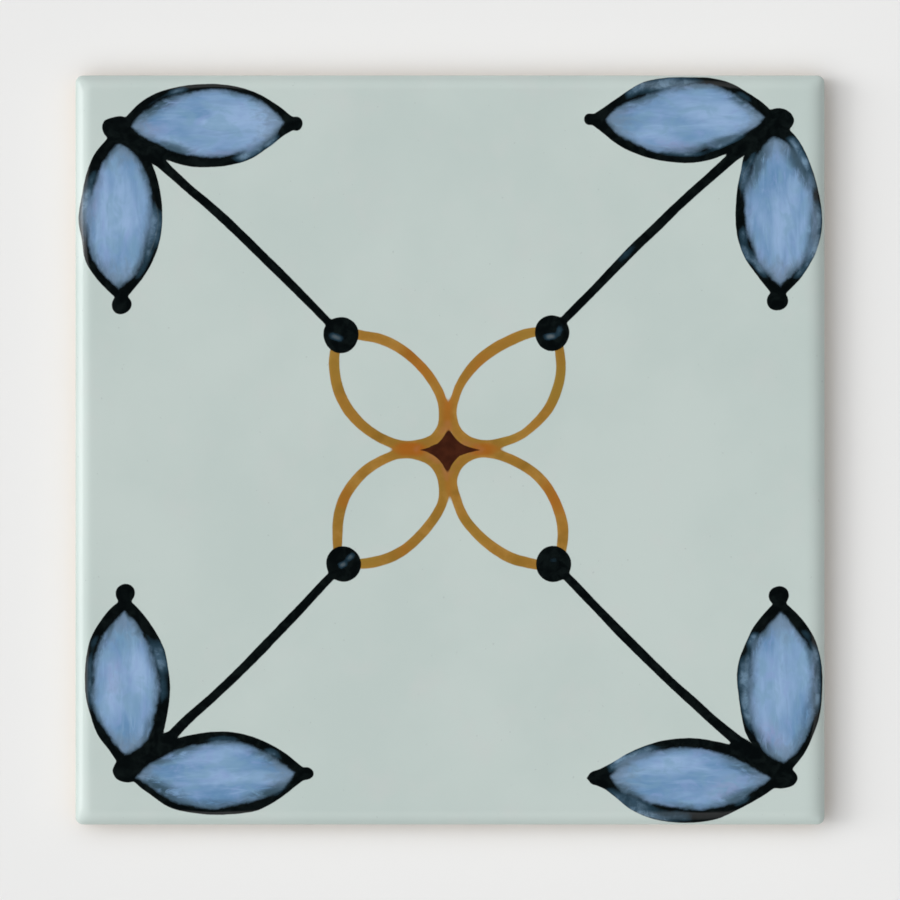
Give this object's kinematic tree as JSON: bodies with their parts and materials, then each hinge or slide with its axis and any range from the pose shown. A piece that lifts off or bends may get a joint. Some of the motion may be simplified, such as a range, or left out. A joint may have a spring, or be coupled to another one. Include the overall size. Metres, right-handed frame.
{
  "type": "decorated glazed ceramic tile",
  "caption": "Square glazed ceramic tile with rolled upper edges, painted with blue corner leaves, black stems and dots and an ochre line flower.",
  "frame": {"origin": "centre of the flat back, which is also the centre of the base as the tile lies on a floor", "axes": "+Z out of the decorated face, +X and +Y along the sides; the leaves with round dots on their tips run along Y and those with pointed nubs run along X"},
  "size_m": [0.2, 0.2, 0.008],
  "materials": {
    "glazed_tile": "pale grey-green satin to glossy glaze with brushed decoration on the face and upper edges; matt buff biscuit on the back"
  },
  "bodies": {
    "root": {"tile": "glazed_tile"}
  },
  "joints": []
}
